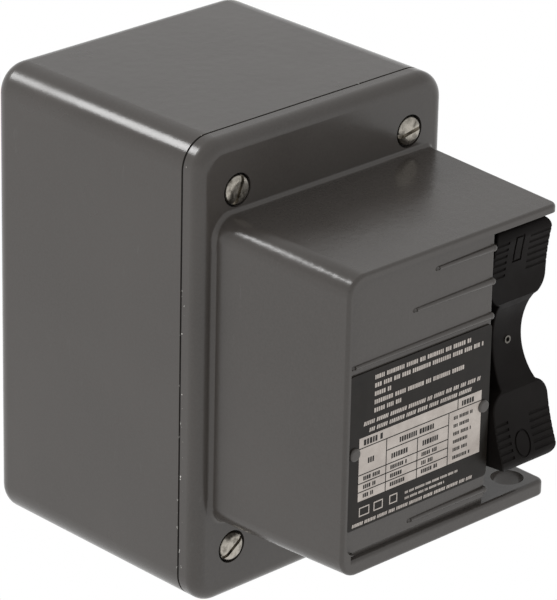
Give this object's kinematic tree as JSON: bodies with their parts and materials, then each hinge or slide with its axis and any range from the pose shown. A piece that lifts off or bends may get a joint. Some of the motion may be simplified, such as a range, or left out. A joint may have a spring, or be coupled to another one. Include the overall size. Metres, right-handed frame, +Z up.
{
  "type": "manual motor starting switch",
  "caption": "Wall-mounted watertight cast enclosure with a projecting hood, a padlockable rocker handle and a toggle-operated motor switch inside.",
  "frame": {"origin": "centre of the four wall-mounting holes, on the box's flat back face", "axes": "+X to the user's right, -Y out of the wall towards the user, +Z up"},
  "size_m": [0.1092, 0.1637, 0.162],
  "materials": {
    "enamel": "semi-gloss warm dark grey enamel on cast metal",
    "gasket_rubber": "matt black neoprene",
    "plated_steel": "nickel-plated steel",
    "plate_black": "satin black lacquered aluminium plate",
    "rivet_grey": "grey painted rivet",
    "black_moulding": "satin black moulded plastic",
    "bearing_brass": "machined",
    "phenolic": "dark brown phenolic moulding",
    "copper_alloy": "rolled copper alloy",
    "ground_green": "green dyed zinc plating"
  },
  "bodies": {
    "enclosure": {"enclosure_box": "enamel", "cover": "enamel", "cover_gasket": "gasket_rubber", "cover_screws": "plated_steel", "screw_seals": "gasket_rubber", "nameplate": "plate_black", "nameplate_rivets": "rivet_grey", "shaft_bushing": "bearing_brass", "shaft_seal": "gasket_rubber", "mounting_strap": "plated_steel", "strap_screws": "plated_steel", "switch_mounting_screws": "plated_steel", "switch_base": "phenolic", "switch_cover": "phenolic", "housing_screws": "plated_steel", "toggle_pin": "plated_steel", "line_terminals": "copper_alloy", "load_terminals": "copper_alloy", "terminal_clamps": "plated_steel", "line_terminal_screws": "plated_steel", "load_terminal_screws": "plated_steel", "ground_screw": "ground_green"},
    "handle": {"rocker_handle": "black_moulding", "handle_pin": "plated_steel", "operating_shaft": "plated_steel", "retaining_clip": "plated_steel", "thrust_washer": "plated_steel", "operating_fork": "plated_steel", "fork_set_screw": "plated_steel"},
    "toggle": {"toggle_lever": "black_moulding", "toggle_plunger": "plated_steel"},
    "carrier": {"contact_carrier": "phenolic", "moving_contacts": "copper_alloy", "contact_springs": "plated_steel"}
  },
  "joints": [
    {"name": "rocker_hinge", "type": "hinge", "parent": "enclosure", "child": "handle", "pos_m": [0.0334, -0.1385, 0.0065], "axis": [1, 0, 0], "range_deg": [0, 22]},
    {"name": "toggle_hinge", "type": "hinge", "parent": "enclosure", "child": "toggle", "pos_m": [0, -0.077, 0.0065], "axis": [1, 0, 0], "range_deg": [-65.2, 0]},
    {"name": "carrier_slide", "type": "slide", "parent": "enclosure", "child": "carrier", "axis": [0, -1, 0], "range_m": [0, 0.0032]}
  ],
  "couplings": [
    {"joint": "toggle_hinge", "follows": "rocker_hinge", "ratio": -2.9636},
    {"joint": "carrier_slide", "follows": "rocker_hinge", "m_per_rad": 0.008324}
  ]
}
